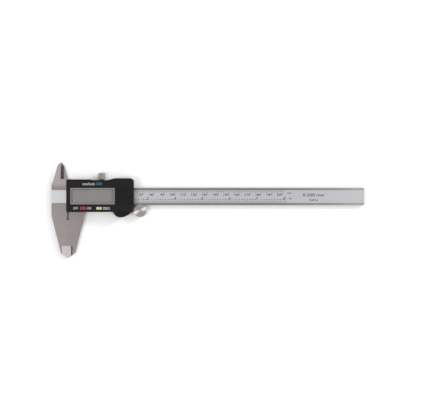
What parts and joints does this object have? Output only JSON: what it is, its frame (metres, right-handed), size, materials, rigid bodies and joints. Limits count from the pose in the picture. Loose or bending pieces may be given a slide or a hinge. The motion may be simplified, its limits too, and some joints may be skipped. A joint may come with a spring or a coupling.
{
  "type": "digital caliper",
  "caption": "Digital caliper with sliding display unit, knife-edge inside and outside jaws, thumb roller, lock screw and depth rod.",
  "frame": {"origin": "on the plane the caliper lies on, where it crosses the beam's centre line and the plane in which the closed outside jaws meet", "axes": "+X along the beam from the jaws to its free end, +Y across the beam towards the inside jaws and lock screw, +Z out of the back plate towards the display"},
  "size_m": [0.2909, 0.0894, 0.0145],
  "materials": {
    "ground_steel": "satin ground stainless steel",
    "circuit_laminate": "glass-fibre laminate",
    "printed_foil": "satin silver printed film",
    "sheet_steel": "satin sheet",
    "screw_steel": "oiled steel",
    "bronze": "rolled strip",
    "housing_plastic": "fine-textured dark plastic",
    "chip_plastic": "moulded epoxy",
    "elastomer": "layered silicone",
    "white_plastic": "moulded",
    "lcd_glass": "grey reflective display cell",
    "bezel_metal": "silver grey",
    "window_glass": "clear window",
    "film": "clear amber film",
    "cell_case": "bright drawn can",
    "spring_contact": "gold flash",
    "red_button": "satin red",
    "yellow_button": "satin pale yellow",
    "teal_button": "satin dark teal",
    "turned_steel": "turned and knurled"
  },
  "bodies": {
    "main_scale": {"beam_with_fixed_jaws": "ground_steel", "stator_strip": "circuit_laminate", "scale_foil": "printed_foil", "end_stop_plate": "sheet_steel", "end_stop_screws": "screw_steel"},
    "slider": {"slider_frame_with_jaws": "ground_steel", "back_plate": "sheet_steel", "back_plate_screws": "screw_steel", "depth_rod": "ground_steel", "depth_rod_rivets": "sheet_steel", "gib_strip": "bronze", "gib_screws": "screw_steel", "roller_bracket": "sheet_steel", "roller_bracket_screw": "screw_steel", "roller_pin": "screw_steel", "display_housing": "housing_plastic", "housing_screws": "screw_steel", "circuit_board": "circuit_laminate", "board_screws": "screw_steel", "controller_chip": "chip_plastic", "switch_domes": "spring_contact", "zebra_connectors": "elastomer", "lcd_holder": "white_plastic", "lcd_panel": "lcd_glass", "display_bezel": "bezel_metal", "display_window": "window_glass", "insulating_film": "film", "battery": "cell_case", "battery_contact_negative": "spring_contact", "battery_contact_positive": "spring_contact"},
    "roller": {"thumb_roller": "turned_steel"},
    "clamp_pad": {"lock_pad": "bronze"},
    "clamp_screw": {"lock_screw": "turned_steel"},
    "power_key": {"button_power": "red_button"},
    "zero_key": {"button_zero": "yellow_button"},
    "units_key": {"button_units": "teal_button"},
    "battery_door": {"battery_cover": "housing_plastic"}
  },
  "joints": [
    {"name": "slider_travel", "type": "slide", "parent": "main_scale", "child": "slider", "axis": [1, 0, 0], "range_m": [0, 0.2]},
    {"name": "roller_spin", "type": "hinge", "parent": "slider", "child": "roller", "pos_m": [0.06745, -0.013, 0.004], "axis": [0, 0, 1], "continuous": true},
    {"name": "lock_pad_press", "type": "slide", "parent": "slider", "child": "clamp_pad", "axis": [0, -1, 0], "range_m": [0, 0.000225]},
    {"name": "lock_screw_turn", "type": "hinge", "parent": "clamp_pad", "child": "clamp_screw", "pos_m": [0.0315, 0.012, 0.0032], "axis": [0, -1, 0], "range_deg": [0, 180]},
    {"name": "power_press", "type": "slide", "parent": "slider", "child": "power_key", "axis": [0, 0, -1], "range_m": [0, 0.0004], "stiffness_N_per_m": 2500, "springref_m": -0.0001},
    {"name": "zero_press", "type": "slide", "parent": "slider", "child": "zero_key", "axis": [0, 0, -1], "range_m": [0, 0.0004], "stiffness_N_per_m": 2500, "springref_m": -0.0001},
    {"name": "units_press", "type": "slide", "parent": "slider", "child": "units_key", "axis": [0, 0, -1], "range_m": [0, 0.0004], "stiffness_N_per_m": 2500, "springref_m": -0.0001},
    {"name": "battery_door_slide", "type": "slide", "parent": "slider", "child": "battery_door", "axis": [1, 0, 0], "range_m": [0, 0.018]}
  ],
  "couplings": [
    {"joint": "roller_spin", "follows": "slider_travel", "rad_per_m": 202.02},
    {"joint": "lock_screw_turn", "follows": "lock_pad_press", "rad_per_m": 13963}
  ]
}
